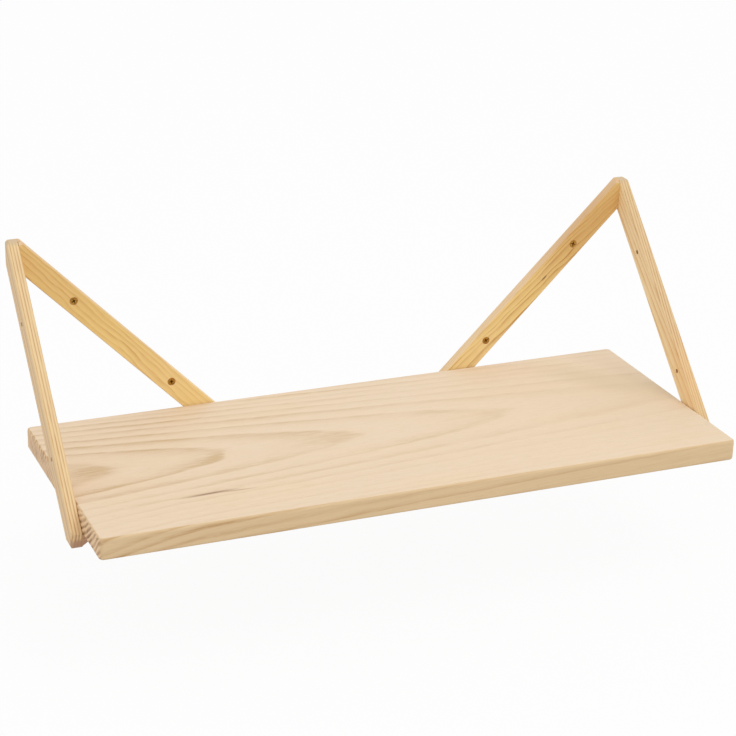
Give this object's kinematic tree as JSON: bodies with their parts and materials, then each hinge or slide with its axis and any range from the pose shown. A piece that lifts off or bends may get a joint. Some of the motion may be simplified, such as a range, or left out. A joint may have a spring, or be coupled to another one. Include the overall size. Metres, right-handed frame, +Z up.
{
  "type": "wall shelf",
  "caption": "Pine wall shelf: a flat board hung between triangular brackets of slim sloping battens, screwed to the wall through the battens behind its back edge.",
  "frame": {"origin": "on the wall plane, midway between the two upper wall screws", "axes": "+X along the shelf to the right seen from the front, +Y into the wall, +Z up"},
  "size_m": [0.62, 0.2642, 0.2095],
  "materials": {
    "board_pine": "planed, untreated",
    "front_batten_pine": "planed, untreated",
    "wall_batten_pine": "planed, untreated",
    "screw_yellow_zinc": "yellow zinc plated",
    "dowel_beech": "turned, untreated"
  },
  "bodies": {
    "root": {"shelf_board": "board_pine", "left_front_batten": "front_batten_pine", "right_front_batten": "front_batten_pine", "left_front_ledge": "front_batten_pine", "right_front_ledge": "front_batten_pine", "left_wall_batten": "wall_batten_pine", "right_wall_batten": "wall_batten_pine", "left_upper_wall_screw": "screw_yellow_zinc", "left_lower_wall_screw": "screw_yellow_zinc", "right_upper_wall_screw": "screw_yellow_zinc", "right_lower_wall_screw": "screw_yellow_zinc", "left_front_outer_dowel": "dowel_beech", "left_front_inner_dowel": "dowel_beech", "left_wall_outer_dowel": "dowel_beech", "left_wall_inner_dowel": "dowel_beech", "right_front_outer_dowel": "dowel_beech", "right_front_inner_dowel": "dowel_beech", "right_wall_outer_dowel": "dowel_beech", "right_wall_inner_dowel": "dowel_beech", "left_top_dowel": "dowel_beech", "right_top_dowel": "dowel_beech"}
  },
  "joints": []
}
